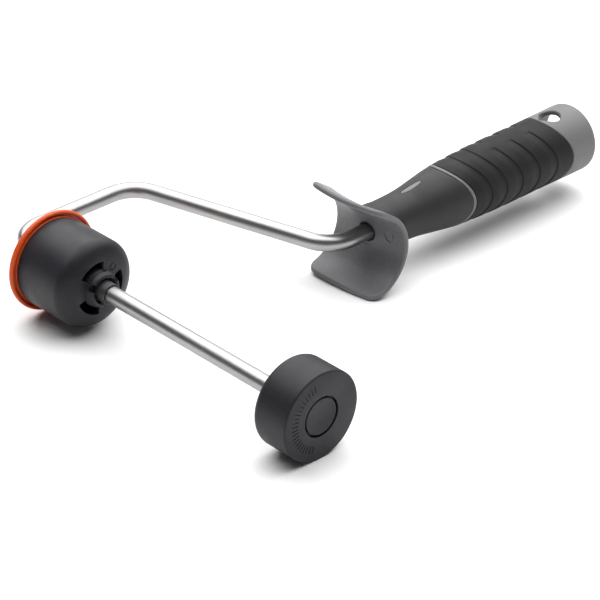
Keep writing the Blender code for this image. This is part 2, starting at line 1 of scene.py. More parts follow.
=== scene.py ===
"""Looks of the paint roller frame: fine surfaces, materials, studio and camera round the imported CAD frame.

Everything is in metres in the CAD's frame. Two lines carry the shapes: the axle's, along +X, and the handle's,
along +Y. A place on the axle is (radius, distance from the flange ring along +X, angle from +Y towards +Z), and
a place on the handle is (radius, distance from the axle along +Y, angle from +X towards +Z).
"""
import json
import math

import bmesh
import bpy
import numpy as np
from mathutils import Matrix, Vector


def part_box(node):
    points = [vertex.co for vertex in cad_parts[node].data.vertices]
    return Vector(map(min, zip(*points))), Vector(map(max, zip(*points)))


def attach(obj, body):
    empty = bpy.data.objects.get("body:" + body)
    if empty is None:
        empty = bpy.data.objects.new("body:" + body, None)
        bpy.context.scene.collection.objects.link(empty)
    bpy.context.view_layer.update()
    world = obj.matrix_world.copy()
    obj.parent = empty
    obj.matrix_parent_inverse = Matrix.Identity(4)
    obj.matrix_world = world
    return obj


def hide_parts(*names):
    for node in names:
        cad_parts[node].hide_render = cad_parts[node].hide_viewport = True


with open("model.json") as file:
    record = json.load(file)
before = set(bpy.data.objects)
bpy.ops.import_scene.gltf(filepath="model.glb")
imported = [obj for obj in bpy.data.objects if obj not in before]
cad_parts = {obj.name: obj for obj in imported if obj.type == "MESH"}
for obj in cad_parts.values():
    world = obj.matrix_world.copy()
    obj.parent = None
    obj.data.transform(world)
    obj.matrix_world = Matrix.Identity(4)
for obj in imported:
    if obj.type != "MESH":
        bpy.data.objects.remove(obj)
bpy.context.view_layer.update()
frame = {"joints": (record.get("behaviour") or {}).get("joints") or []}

MM = 0.001
GAP = 0.3 * MM                  # between a skin and the piece it meets
FULL = 2 * math.pi
AXLE = Vector(next(j for j in frame["joints"] if j["name"] == "inner_hub_spin")["pos_m"])
HANDLE_X = sum(corner.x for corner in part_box("rear_grip")) / 2

ROUND_STEPS = 144               # round the hubs
FLANGE_STEPS = 176              # round the flange ring
SMALL_STEPS = 72                # round the bushes, push rings and holes
SHARP_ANGLE = 32                # degrees; edges that turn more than this are drawn sharp


# ------------------------------------------------------------------------------
# Mesh building

def on_axle(radius, along, angle):
    return (AXLE.x + along, AXLE.y + radius * math.cos(angle), AXLE.z + radius * math.sin(angle))


def on_handle(radius, along, angle):
    return (HANDLE_X + radius * math.cos(angle), AXLE.y + along, AXLE.z + radius * math.sin(angle))


def skin(name, rows, close_rows=False, caps=False):
    """A surface through rings of points. The last ring can join the first, or caps close both ends."""
    count = len(rows[0])
    points = [tuple(point) for row in rows for point in row]
    faces = []
    for r in range(len(rows) if close_rows else len(rows) - 1):
        near, far = r * count, (r + 1) % len(rows) * count
        for c in range(count):
            d = (c + 1) % count
            faces.append((near + c, near + d, far + d, far + c))
    if caps:
        faces.append(tuple(range(count)))
        faces.append(tuple(range((len(rows) - 1) * count, len(rows) * count)))
    mesh = bpy.data.meshes.new(name)
    mesh.from_pydata(points, [], faces)
    return clean(mesh)


def clean(mesh):
    """Merges coincident points, turns faces outwards and shades smoothly between sharp edges."""
    builder = bmesh.new()
    builder.from_mesh(mesh)
    bmesh.ops.remove_doubles(builder, verts=builder.verts, dist=0.002 * MM)
    bmesh.ops.dissolve_degenerate(builder, dist=0.001 * MM, edges=builder.edges)
    bmesh.ops.recalc_face_normals(builder, faces=builder.faces)
    builder.to_mesh(mesh)
    builder.free()
    mesh.shade_smooth()
    mesh.set_sharp_from_angle(angle=math.radians(SHARP_ANGLE))
    return mesh


def rounded(corners, closed=True, steps=4):
    """Straight runs through (point, radius) corners, with an arc of that radius at each."""
    points = []
    for i, (corner, radius) in enumerate(corners):
        if radius == 0 or (not closed and i in (0, len(corners) - 1)):
            points.append(corner)
            continue
        back = (corners[i - 1][0] - corner).normalized()
        ahead = (corners[(i + 1) % len(corners)][0] - corner).normalized()
        half = back.angle(ahead) / 2
        centre = corner + (back + ahead).normalized() * radius / math.sin(half)
        start = corner + back * radius / math.tan(half) - centre
        end = corner + ahead * radius / math.tan(half) - centre
        turn = start.angle(end)
        for k in range(steps + 1):
            share = k / steps               # the arc's spokes lie evenly between its first and its last
            spoke = (start * math.sin((1 - share) * turn) + end * math.sin(share * turn)) / math.sin(turn)
            points.append(centre + spoke)
    return points


def outline(*corners, closed=True, steps=4):
    """A rounded outline of (radius, along, fillet) corners, all in millimetres."""
    return rounded([(Vector((r, h)) * MM, fillet * MM) for r, h, fillet in corners], closed, steps)


def arc(centre, radii, start, end, steps):
    """Points of an elliptical arc in (radius, along), angles in degrees from the radius axis."""
    angles = [math.radians(start + (end - start) * i / steps) for i in range(steps + 1)]
    return [Vector((centre[0] + radii[0] * math.cos(a), centre[1] + radii[1] * math.sin(a))) for a in angles]


def revolved(name, profile, place=on_axle, steps=ROUND_STEPS, closed=True):
    """A profile of (radius, along) turned round a line; an open profile starts and ends on the line."""
    rows = [[place(radius, along, FULL * i / steps) for i in range(steps)] for radius, along in profile]
    return skin(name, rows, close_rows=closed)


def add_piece(name, mesh, material, body, slot, *nodes):
    """Puts a finished mesh in the scene, on its body, in the place of the CAD nodes that it stands for."""
    piece = bpy.data.objects.new(name, mesh)
    mesh.materials.clear()
    mesh.materials.append(material)
    bpy.context.scene.collection.objects.link(piece)
    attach(piece, body)
    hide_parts(*nodes)


def combine(mesh, cutter_meshes, operation="DIFFERENCE"):
    """The mesh after a Boolean with each cutter in turn."""
    holder = bpy.data.objects.new("working", mesh)
    bpy.context.scene.collection.objects.link(holder)
    cutters = []
    for i, cutter_mesh in enumerate(cutter_meshes):
        cutter = bpy.data.objects.new(f"cutter_{i}", cutter_mesh)
        bpy.context.scene.collection.objects.link(cutter)
        modifier = holder.modifiers.new(f"cut_{i}", "BOOLEAN")
        modifier.operation = operation
        modifier.solver = "EXACT"
        modifier.object = cutter
        cutters.append(cutter)
    bpy.context.view_layer.update()
    evaluated = holder.evaluated_get(bpy.context.evaluated_depsgraph_get())
    result = bpy.data.meshes.new_from_object(evaluated)
    result.name = mesh.name
    for item in [holder] + cutters:
        bpy.data.objects.remove(item, do_unlink=True)
    return clean(result)


def ring_cutter(place, inner, outer, low, high, start=0.0, end=FULL):
    """A ring or an arc of a ring, of rectangular section. Radii are pairs; place takes (u, v, height)."""
    whole = end - start >= FULL
    steps = 48
    rows = []
    for i in range(steps if whole else steps + 1):
        turn = start + (end - start) * i / steps
        corners = ((inner, low), (outer, low), (outer, high), (inner, high))
        rows.append([place(radii[0] * math.cos(turn), radii[1] * math.sin(turn), height)
                     for radii, height in corners])
    return skin("ring", rows, close_rows=whole, caps=not whole)


def note_point(mesh, name, values):
    """Stores one vector for each vertex, for a material to read."""
    attribute = mesh.attributes.new(name, "FLOAT_VECTOR", "POINT")
    attribute.data.foreach_set("vector", np.array(values, np.float32).ravel())


# ------------------------------------------------------------------------------
# Materials

class Shader:
    """A Principled material that is built up one node at a time."""

    def __init__(self, name, roughness=0.5, metallic=0.0, **sockets):
        self.material = bpy.data.materials.new(name)
        self.material.use_nodes = True
        self.tree = self.material.node_tree
        self.bsdf = self.tree.nodes["Principled BSDF"]
        self.bsdf.inputs["Roughness"].default_value = roughness
        self.bsdf.inputs["Metallic"].default_value = metallic
        for socket, value in sockets.items():
            self.bsdf.inputs[socket.replace("_", " ")].default_value = value
        self.place = self.node("ShaderNodeTexCoord").outputs["Object"]
        self.normal = None

    def node(self, kind, **settings):
        made = self.tree.nodes.new(kind)
        for key, value in settings.items():
            setattr(made, key, value)
        return made

    def link(self, source, target):
        self.tree.links.new(source, target)

    def use_attribute(self, name):
        """Textures follow a stored position instead of the object's own coordinates."""
        self.place = self.node("ShaderNodeAttribute", attribute_name=name).outputs["Vector"]

    def stretched(self, stretch):
        """The place to read a texture at; a smaller number draws the pattern out along that axis."""
        mapping = self.node("ShaderNodeMapping")
        mapping.inputs["Scale"].default_value = stretch
        self.link(self.place, mapping.inputs["Vector"])
        return mapping.outputs["Vector"]

    def noise(self, size, detail=3.0, stretch=(1, 1, 1), offset=0.0, distortion=0.0):
        """Cloudy pattern with features about size metres wide; offset picks another pattern."""
        made = self.node("ShaderNodeTexNoise", noise_dimensions="4D")
        made.inputs["W"].default_value = offset
        made.inputs["Scale"].default_value = 1 / size
        made.inputs["Detail"].default_value = detail
        made.inputs["Distortion"].default_value = distortion
        self.link(self.stretched(stretch), made.inputs["Vector"])
        return made.outputs["Fac"]

    def cells(self, size):
        """Soft rounded cells about size metres wide."""
        made = self.node("ShaderNodeTexVoronoi", feature="SMOOTH_F1")
        made.inputs["Scale"].default_value = 1 / size
        self.link(self.place, made.inputs["Vector"])
        return made.outputs["Distance"]

    def remap(self, value, low, high, new_low=0.0, new_high=1.0):
        """Stretches the range from low to high to the new one, and clamps what lies outside."""
        made = self.node("ShaderNodeMapRange")
        for socket, number in zip(("From Min", "From Max", "To Min", "To Max"), (low, high, new_low, new_high)):
            made.inputs[socket].default_value = number
        self.link(value, made.inputs["Value"])
        return made.outputs["Result"]

    def multiply(self, first, second):
        made = self.node("ShaderNodeMath", operation="MULTIPLY")
        self.link(first, made.inputs[0])
        if isinstance(second, (int, float)):
            made.inputs[1].default_value = second
        else:
            self.link(second, made.inputs[1])
        return made.outputs[0]

    def mix(self, factor, first, second):
        """Mixes two colours; each is an (r, g, b) triple or a socket. Only colour sockets have type RGBA."""
        made = self.node("ShaderNodeMix", data_type="RGBA")
        self.link(factor, made.inputs["Factor"])
        sockets = [socket for socket in made.inputs if socket.type == "RGBA"]
        for socket, colour in zip(sockets, (first, second)):
            if isinstance(colour, tuple):
                socket.default_value = (*colour, 1.0)
            else:
                self.link(colour, socket)
        return next(socket for socket in made.outputs if socket.type == "RGBA")

    def colour(self, value):
        self.link(value, self.bsdf.inputs["Base Color"])

    def roughness(self, value):
        self.link(value, self.bsdf.inputs["Roughness"])

    def bump(self, height, distance, strength):
        """Adds a layer of bump on top of the layers before it; distance is its depth in metres."""
        made = self.node("ShaderNodeBump")
        made.inputs["Distance"].default_value = distance
        made.inputs["Strength"].default_value = strength
        self.link(height, made.inputs["Height"])
        if self.normal is not None:
            self.link(self.normal, made.inputs["Normal"])
        self.normal = made.outputs["Normal"]
        self.link(self.normal, self.bsdf.inputs["Normal"])

    def edges(self):
        """White on convex edges: the mask for paler edges, partly edge wear and partly a painted highlight
        along rims and ridges.
        """
        return self.remap(self.node("ShaderNodeNewGeometry").outputs["Pointiness"], 0.52, 0.58)


def moulded(name, colour, lighter, roughness, seed, wear=0.25):
    """Spark-eroded moulded plastic: fine grain, faint flow clouds, handling scuffs, and paler convex edges that
    are partly edge wear and partly a painted highlight.
    """
    shader = Shader(name, Specular_IOR_Level=0.32)
    clouds = shader.remap(shader.noise(22 * MM, 4.0, offset=seed), 0.35, 0.7)
    tone = shader.mix(clouds, colour, tuple(c * 1.12 for c in colour))
    specks = shader.remap(shader.noise(0.5 * MM, 2.0, offset=seed + 3), 0.55, 0.8, 0.0, 0.35)
    tone = shader.mix(specks, tone, lighter)
    scuff_mask = shader.remap(shader.noise(16 * MM, 2.0, offset=seed + 7), 0.55, 0.72)
    scuffs = shader.remap(shader.noise(1.2 * MM, 5.0, (1, 0.25, 1), seed + 9, 0.6), 0.56, 0.66)
    marks = shader.multiply(shader.multiply(scuffs, scuff_mask), wear)
    tone = shader.mix(marks, tone, lighter)
    # Paler convex edges: partly edge wear, partly a painted highlight along rims and ridges.
    tone = shader.mix(shader.multiply(shader.edges(), 0.35), tone, lighter)
    shader.colour(tone)
    shine = shader.noise(9 * MM, 5.0, offset=seed + 11)
    shader.roughness(shader.remap(shine, 0.3, 0.7, roughness - 0.06, roughness + 0.07))
    shader.bump(shader.noise(0.35 * MM, 3.0, offset=seed + 13), 0.012 * MM, 0.6)
    shader.bump(shader.noise(14 * MM, 2.0, offset=seed + 15), 0.10 * MM, 0.35)
    return shader.material


def make_rod_steel():
    """Bright zinc-plated rod: fine draw lines along it, soft clouds in the plating, a few nicks."""
    shader = Shader("rod_steel", metallic=1.0)
    shader.use_attribute("straight")
    lines = shader.noise(0.35 * MM, 4.0, (1, 1, 0.012))
    broad = shader.noise(2.2 * MM, 3.0, (1, 1, 0.03), 4.0)
    clouds = shader.remap(shader.noise(10 * MM, 4.0, (1, 1, 0.4), 8.0), 0.35, 0.68)
    tone = shader.mix(clouds, (0.385, 0.385, 0.382), (0.335, 0.335, 0.338))
    tone = shader.mix(shader.remap(lines, 0.45, 0.75, 0.0, 0.35), tone, (0.31, 0.31, 0.32))
    nicks = shader.remap(shader.noise(0.8 * MM, 2.0, (1, 1, 0.35), 12.0), 0.70, 0.76, 0.0, 0.6)
    shader.colour(shader.mix(nicks, tone, (0.33, 0.32, 0.31)))
    shader.roughness(shader.remap(broad, 0.3, 0.75, 0.32, 0.44))
    shader.bump(lines, 0.006 * MM, 0.7)
    shader.bump(shader.noise(6 * MM, 2.0, (1, 1, 0.5), 16.0), 0.03 * MM, 0.4)
    return shader.material


def make_spring_steel(name, bright, stained, roughness):
    """Oiled spring steel with fine turned marks."""
    shader = Shader(name, metallic=1.0)
    stains = shader.remap(shader.noise(3 * MM, 4.0, offset=21.0), 0.4, 0.7)
    shader.colour(shader.mix(stains, bright, stained))
    wear = shader.noise(1.2 * MM, 3.0, offset=23.0)
    shader.roughness(shader.remap(wear, 0.3, 0.7, roughness, roughness + 0.18))
    shader.bump(shader.noise(0.4 * MM, 3.0, (0.1, 1, 1), 25.0), 0.008 * MM, 0.6)
    return shader.material


def make_rubber(name, colour, lighter, roughness, seed, grain):
    """Thermoplastic rubber: a fine matt skin with a soft sheen, dust, slightly polished high spots, and paler
    convex edges that are partly wear and partly a painted highlight.
    """
    shader = Shader(name, Sheen_Weight=0.05, Sheen_Roughness=0.5, Specular_IOR_Level=0.29)
    clouds = shader.remap(shader.noise(18 * MM, 5.0, offset=seed), 0.35, 0.7)
    tone = shader.mix(clouds, colour, tuple(c * 1.25 for c in colour))
    dust = shader.remap(shader.noise(0.7 * MM, 4.0, offset=seed + 2), 0.60, 0.78, 0.0, 0.30)
    tone = shader.mix(dust, tone, lighter)
    # Paler convex edges: partly wear, partly a painted highlight on the grips' rounded edges and groove lips.
    tone = shader.mix(shader.multiply(shader.edges(), 0.30), tone, lighter)
    shader.colour(tone)
    polish = shader.noise(12 * MM, 4.0, offset=seed + 5)
    shader.roughness(shader.remap(polish, 0.3, 0.7, roughness - 0.07, roughness + 0.06))
    shader.bump(shader.cells(grain), 0.018 * MM, 0.5)
    shader.bump(shader.noise(0.22 * MM, 3.0, offset=seed + 8), 0.012 * MM, 0.6)
    return shader.material


ROD_STEEL = make_rod_steel()
SPRING_STEEL = make_spring_steel("spring_steel", (0.47, 0.46, 0.44), (0.30, 0.28, 0.26), 0.28)
# Near-black steel for the front push ring deep in the hub's collar: painted shade, so that it reads dark
# through the collar's notches.
SHADE_DARK_STEEL = make_spring_steel("steel_painted_as_shade", (0.030, 0.029, 0.029), (0.018, 0.017, 0.017), 0.46)
HUB_PLASTIC = moulded("hub_plastic", (0.0110, 0.0102, 0.0142), (0.036, 0.036, 0.042), 0.50, 1.0)
ORANGE = moulded("flange_orange", (0.62, 0.080, 0.014), (0.75, 0.17, 0.05), 0.42, 31.0, wear=0.15)
# The guard's paler colour is set high so the edge mask lightens its rounded rim: a painted highlight, besides
# grain and scuffs.
GUARD_GREY = moulded("guard_grey", (0.114, 0.115, 0.121), (0.36, 0.36, 0.37), 0.40, 51.0)
CORE_GREY = moulded("core_grey", (0.138, 0.138, 0.138), (0.27, 0.27, 0.27), 0.52, 71.0)
NYLON = moulded("bearing_nylon", (0.030, 0.030, 0.033), (0.08, 0.08, 0.085), 0.40, 91.0)
SOFT_GREY = make_rubber("soft_grey", (0.0170, 0.0170, 0.0175), (0.05, 0.05, 0.05), 0.56, 111.0, 0.30 * MM)
RUBBER = make_rubber("rubber_black", (0.0036, 0.0032, 0.0032), (0.016, 0.015, 0.015), 0.70, 131.0, 0.40 * MM)


# ------------------------------------------------------------------------------
# Rod

ROD_RADIUS = 4.0 * MM
ROD_BEND = 16.0 * MM
ROD_ENDS = (170.2 * MM, 196.0 * MM)     # along the axle, and along the handle
BACK_LEG = -29.2 * MM
ARM = (71.4 * MM, 99.9 * MM)            # where the two outer bends' corners lie along the handle


def make_rod():
    handle = HANDLE_X - AXLE.x
    corners = [(ROD_ENDS[0], 0), (BACK_LEG, 0), (BACK_LEG, ARM[0]), (handle, ARM[1]), (handle, ROD_ENDS[1])]
    path = rounded([(Vector((x, y, 0)), ROD_BEND) for x, y in corners], closed=False, steps=26)
    steps = 48
    chamfer = 0.5 * MM
    rows = []
    straight = []                           # each point's place on the rod as if it weren't bent
    travelled = 0.0
    for i, point in enumerate(path):
        before = path[max(i - 1, 0)]
        after = path[min(i + 1, len(path) - 1)]
        ahead = (after - before).normalized()
        side = ahead.cross(Vector((0, 0, 1)))
        travelled += (point - before).length
        places = [(0.0, ROD_RADIUS)]        # (shift along, radius) of the rings here; two at a chamfered end
        if i == 0:
            places = [(0.0, ROD_RADIUS - chamfer), (chamfer, ROD_RADIUS)]
        if i == len(path) - 1:
            places = [(-chamfer, ROD_RADIUS), (0.0, ROD_RADIUS - chamfer)]
        for shift, radius in places:
            row = []
            for k in range(steps):
                turn = FULL * k / steps
                spoke = side * radius * math.cos(turn) + Vector((0, 0, radius * math.sin(turn)))
                row.append(AXLE + point + ahead * shift + spoke)
                straight.append((radius * math.cos(turn), radius * math.sin(turn), travelled + shift))
            rows.append(row)
    mesh = skin("steel_rod", rows, caps=True)
    note_point(mesh, "straight", straight)
    add_piece("steel_rod", mesh, ROD_STEEL, "frame", "rod_steel", "rod")


# ------------------------------------------------------------------------------
# Large hub with its flange ring and bearings
#
# A size without MM is in plain millimetres, as outline() takes them.

HUB_RADIUS = 21.2
HUB_NOSE = 34.5
NOSE = (11.0, 7.1)                      # radial and axial size of the rounded nose
HUB_WALL = 2.2
HUB_TUBE = (6.2, 8.4)                   # the bearing tube's bore and outside
COLLAR_END = 38.2
WINDOW_RADII = (8.95, 12.7)
WINDOW_ANGLES = (111, 231, 351)
WINDOW_SPAN = 64
WINDOW_LEVELS = ((29.0, 0.0), (34.05, 0.0), (34.2, 0.04), (34.35, 0.12), (34.5, 0.28), (36.0, 1.8))
NOTCH_ANGLES = (152, 32, 272)
NOTCH_SIZE = (3.4 * MM, 5.2 * MM, 5.0 * MM)
NOTCH_RADIUS = 6.8 * MM
HUB_MARK = (48, 11.0)                   # angle and radius of the small mould mark between two windows
BEAD_RADIUS = 24.03                     # the flange ring's bead
BEAD_FACES = (-0.7, 1.6)                # its rear and front
COVER_RADIUS = 20.7                     # the flange ring's flat cover behind the hub
COVER_REAR = -1.7


def window_cutter(angle):
    """A kidney-shaped hole through the nose; its levels are (along, how much wider), for the softened rim."""
    inner, outer = (radius * MM for radius in WINDOW_RADII)
    steps = 18
    rows = []
    for along, spread in WINDOW_LEVELS:
        spread *= MM
        extra = math.degrees(spread / ((inner + outer) / 2))
        start = math.radians(angle - WINDOW_SPAN / 2 - extra)
        end = math.radians(angle + WINDOW_SPAN / 2 + extra)
        loop = []
        for radius, first, last in ((outer + spread, start, end), (inner - spread, end, start)):
            loop += [on_axle(radius, along * MM, first + (last - first) * i / steps) for i in range(steps + 1)]
        rows.append(loop)
    return skin("window", rows, caps=True)


def block(name, size, centre, turn):
    """A box with softened edges on the axle: size is (across, radial, along), centre is (radius, along)."""
    builder = bmesh.new()
    bmesh.ops.create_cube(builder, size=1.0)
    bmesh.ops.scale(builder, vec=size, verts=builder.verts)
    bmesh.ops.bevel(builder, geom=builder.edges, offset=min(size) * 0.12, segments=3, affect="EDGES")
    bmesh.ops.translate(builder, vec=(0, centre[0], centre[1]), verts=builder.verts)
    across = Matrix.Rotation(turn, 4, "X")
    axes = Matrix(((0, 0, 1, AXLE.x), (0, 1, 0, AXLE.y), (-1, 0, 0, AXLE.z), (0, 0, 0, 1)))
    mesh = bpy.data.meshes.new(name)
    builder.to_mesh(mesh)
    builder.free()
    mesh.transform(Matrix.Translation(AXLE) @ across @ Matrix.Translation(-AXLE) @ axes)
    return mesh


def nose_place(angle, radius):
    """Places round a point of the nose's flat: u along the circle, v outwards, height out of the hub."""
    turn = math.radians(angle)

    def place(u, v, height):
        out = radius * MM + v
        return (AXLE.x + HUB_NOSE * MM + height, AXLE.y + out * math.cos(turn) - u * math.sin(turn),
                AXLE.z + out * math.sin(turn) + u * math.cos(turn))
    return place


def make_inner_hub():
    """The outline runs from the collar over the nose to the rear, and back inside to the bearing tube."""
    centre = ((HUB_RADIUS - NOSE[0]) * MM, (HUB_NOSE - NOSE[1]) * MM)
    inside_wall, inside_nose = HUB_RADIUS - HUB_WALL, HUB_NOSE - HUB_WALL
    bore, tube = HUB_TUBE
    profile = outline((bore, 37.0, 0), (bore, COLLAR_END, 0.3), (7.7, COLLAR_END, 0.7), (8.75, 35.4, 0.8),
                      (8.9, HUB_NOSE, 0.3), (10.1, HUB_NOSE, 0), closed=False)[1:]
    profile += arc(centre, (NOSE[0] * MM, NOSE[1] * MM), 90, 0, 28)
    profile += outline((HUB_RADIUS, 20.0, 0), (HUB_RADIUS, 2.1, 0.2), (20.1, 2.1, 0.1), (20.1, 0.5, 0.3),
                       (inside_wall, 0.5, 0.2), (inside_wall, 8.0, 0), closed=False)
    profile += arc(centre, ((NOSE[0] - HUB_WALL) * MM, (NOSE[1] - HUB_WALL) * MM), 0, 90, 12)
    profile += outline((8.9, inside_nose, 0), (tube, inside_nose, 0.25), (tube, 0.5, 0.2), (bore, 0.5, 0.2),
                       (bore, 30.0, 0), closed=False)
    mesh = revolved("large_hub", profile)
    cutters = [window_cutter(angle) for angle in WINDOW_ANGLES]
    cutters.append(ring_cutter(nose_place(*HUB_MARK), (1.2 * MM, 1.45 * MM), (1.7 * MM, 1.95 * MM),
                               -0.4 * MM, 1 * MM))
    for angle in NOTCH_ANGLES:
        cutters.append(block("notch", NOTCH_SIZE, (NOTCH_RADIUS, COLLAR_END * MM), math.radians(angle)))
    mesh = combine(mesh, cutters)
    add_piece("large_hub", mesh, HUB_PLASTIC, "inner_hub_body", "hub_plastic", "inner_hub")


def make_flange_ring():
    """The outline runs from the lip round the hub's rear end over the bead, and down the cover to the axle."""
    rear, front = BEAD_FACES
    profile = outline((20.4, 1.8, 0.1), (HUB_RADIUS, 1.8, 0.2), (HUB_RADIUS, 0.3, 0.2), (22.4, 0.3, 0.2),
                      (22.4, front, 0.5), (BEAD_RADIUS, front, 1.1), (BEAD_RADIUS, rear, 1.1),
                      (COVER_RADIUS, rear, 0.3), (COVER_RADIUS, COVER_REAR, 0.4), (6.5, COVER_REAR, 0.3),
                      (6.5, 0.2, 0.2), (20.4, 0.2, 0.2), steps=7)
    mesh = revolved("orange_flange", profile, steps=FLANGE_STEPS)
    add_piece("orange_flange", mesh, ORANGE, "inner_hub_body", "flange_orange", "flange_ring")


def bush(name, node, body, bore, outer, flange, low, seat, high, material=NYLON, slot="bearing_nylon"):
    """A bush with a flange from low to seat, or a plain ring where flange equals outer; millimetres."""
    edge = min(0.2, (outer - bore) / 4, (high - low) / 4)
    if flange == outer:
        corners = [(outer, high, edge), (outer, low, edge), (bore, low, edge), (bore, high, edge)]
    else:
        corners = [(outer, high, edge), (outer, seat, 0.1), (flange, seat, 0.15), (flange, low, 0.15),
                   (bore, low, edge), (bore, high, edge)]
    mesh = revolved(name, outline(*corners, steps=3), steps=SMALL_STEPS)
    add_piece(name, mesh, material, body, slot, node)


def make_axle_fittings():
    """Bore, outside, flange, low end, flange face and high end of each; a plain ring has no flange face."""
    steel = {"material": SPRING_STEEL, "slot": "spring_steel"}
    bush("sleeve_tube", "axle_sleeve", "frame", 4.2, 4.9, 4.9, -2.6, 0, 42.4)
    bush("large_hub_rear_bush", "inner_bush_rear", "inner_hub_body", 5.1, 5.95, 8.2, -2.6, -2.0, 14.0)
    bush("large_hub_front_bush", "inner_bush_front", "inner_hub_body", 5.1, 5.95, 5.95, 20.0, 0, 34.0)
    bush("rear_thrust_washer", "thrust_washer_rear", "frame", 4.2, 8.0, 8.0, -3.9, 0, -2.9, **steel)
    bush("rear_push_ring", "retainer_rear", "frame", 4.2, 6.8, 6.8, -5.2, 0, -4.2, **steel)
    # The front push ring's near-black steel is painted shade inside the collar.
    bush("front_push_ring", "retainer_front", "frame", 5.1, 5.85, 5.85, 34.4, 0, 35.4,
         material=SHADE_DARK_STEEL, slot="spring_steel")
    bush("end_hub_rear_bush", "end_bush_rear", "end_hub_body", 4.2, 5.35, 7.8, 155.0, 155.9, 160.4)
    bush("end_hub_front_bush", "end_bush_front", "end_hub_body", 4.2, 5.35, 5.35, 160.8, 0, 167.2)
    bush("end_washer", "end_thrust_washer", "frame", 4.2, 6.6, 6.6, 167.6, 0, 168.4, **steel)
    bush("end_lock_nut", "end_push_nut", "frame", 4.2, 6.6, 6.6, 168.8, 0, 169.8, **steel)


# ------------------------------------------------------------------------------
# End hub

END_RADIUS = 20.6
END_FACE = 174.9
END_REAR = 155.4
END_CUP = (17.4, 172.2)                 # radius and bottom of the open rear cup
END_ROUND = (2.6, 3.0)                  # radial and axial size of the rounded rear rim
RIB_COUNT = 6
RIB_SIZE = (1.4 * MM, 10.0 * MM, 13.0 * MM)
RIB_PLACE = (12.9 * MM, 166.0 * MM)
TICKS = range(104, 252, 7)              # angles of the plain sunk ticks on the face
TICK_SIZE = (0.5 * MM, 3.4 * MM, 1.0 * MM)
TICK_RADIUS = 14.9 * MM
GROOVE_RADII = (8.4, 9.35)              # the ring-shaped groove between the plug and the hub's face
PLUG_FACE = 174.7


def make_end_hub():
    """The outline runs from the groove over the rim to the rear, and back through the cup and the bore."""
    cup, bottom = END_CUP
    groove = GROOVE_RADII[1]
    profile = outline((groove, END_FACE, 0.2), (END_RADIUS, END_FACE, 0.8), (END_RADIUS, END_REAR + 3.2, 0),
                      closed=False, steps=6)
    profile += arc(((END_RADIUS - END_ROUND[0]) * MM, (END_REAR + END_ROUND[1]) * MM),
                   (END_ROUND[0] * MM, END_ROUND[1] * MM), 0, -90, 12)
    profile += outline((17.6, END_REAR, 0), (cup, END_REAR, 0.2), (cup, bottom, 0.6), (8.3, bottom, 0.6),
                       (8.3, 156.2, 0.3), (5.65, 156.2, 0.2), (5.65, 165.9, 0.2), (7.2, 165.9, 0.1),
                       (7.2, 172.8, 0.1), (groove, 172.8, 0.1), (groove, 174.0, 0), closed=False)
    mesh = revolved("end_hub_cup", profile)
    ribs = [block("rib", RIB_SIZE, RIB_PLACE, FULL * i / RIB_COUNT) for i in range(RIB_COUNT)]
    mesh = combine(mesh, ribs, "UNION")
    tick_place = (TICK_RADIUS, (END_FACE + 0.25) * MM)
    mesh = combine(mesh, [block("tick", TICK_SIZE, tick_place, math.radians(angle)) for angle in TICKS])
    add_piece("end_hub_cup", mesh, HUB_PLASTIC, "end_hub_body", "hub_plastic", "end_hub")


def make_end_plug():
    """A disc with a slightly raised rim, and a short collar behind it that holds it in the hub."""
    edge = GROOVE_RADII[0]
    profile = outline((0, 174.62, 0), (7.2, 174.62, 0), (7.6, PLUG_FACE, 0.3), (edge, PLUG_FACE, 0.25),
                      (edge, 173.1, 0.2), (6.9, 173.1, 0.1), (6.9, 170.7, 0.2), (5.4, 170.7, 0.2),
                      (5.4, 172.9, 0.2), (0, 172.9, 0), closed=False)
    mesh = revolved("end_hub_plug", profile, closed=False)
    add_piece("end_hub_plug", mesh, HUB_PLASTIC, "end_hub_body", "hub_plastic", "end_plug")


# ------------------------------------------------------------------------------
# Splash guard: a sheet bent round a line along X, straight above and below the bend, sides swept back

GUARD_WIDTH = 43.8 * MM
GUARD_THICKNESS = 2.8 * MM
GUARD_ARC = 20.3 * MM                       # radius of the bend, to the sheet's middle
GUARD_CENTRE = (103.25 * MM, -0.75 * MM)    # from the axle, along Y and Z
GUARD_ANGLES = (math.radians(55.5), math.radians(-71.3))
GUARD_FLARES = (12.5 * MM, 6.4 * MM)        # top, bottom
GUARD_CORNERS = (4.6 * MM, 5.3 * MM)
GUARD_SWEEP = (3.9, 2.0)                    # per metre: at the bottom, and added at the top
GUARD_SKEW = 0.036                          # slope of the sheet across the handle
GUARD_HOLE = 4.75 * MM
GUARD_SPIGOT = (7.2 * MM, 133.0 * MM)       # radius, rear end
GUARD_MARK = (13.2, 2.4)                    # the oval mark beside the hole, from the hole's centre


def guard_sweep(across, up):
    """How far back the sheet is swept, at a place across from its middle and up from the axle."""
    low, added = GUARD_SWEEP
    height = max((up + AXLE.z) / (2 * AXLE.z), 0)
    return (low + added * height) * across ** 2 + GUARD_SKEW * across


def guard_point(across, along):
    """The sheet's middle surface: across is along X, along is round the bend from its level point."""
    top, bottom = GUARD_ARC * GUARD_ANGLES[0], GUARD_ARC * GUARD_ANGLES[1]
    angle = min(max(along, bottom), top) / GUARD_ARC
    flare = max(along - top, 0) + min(along - bottom, 0)
    y = GUARD_CENTRE[0] + GUARD_ARC * math.cos(angle) - flare * math.sin(angle)
    z = GUARD_CENTRE[1] + GUARD_ARC * math.sin(angle) + flare * math.cos(angle)
    return (HANDLE_X + across, AXLE.y + y + guard_sweep(across, z), AXLE.z + z)


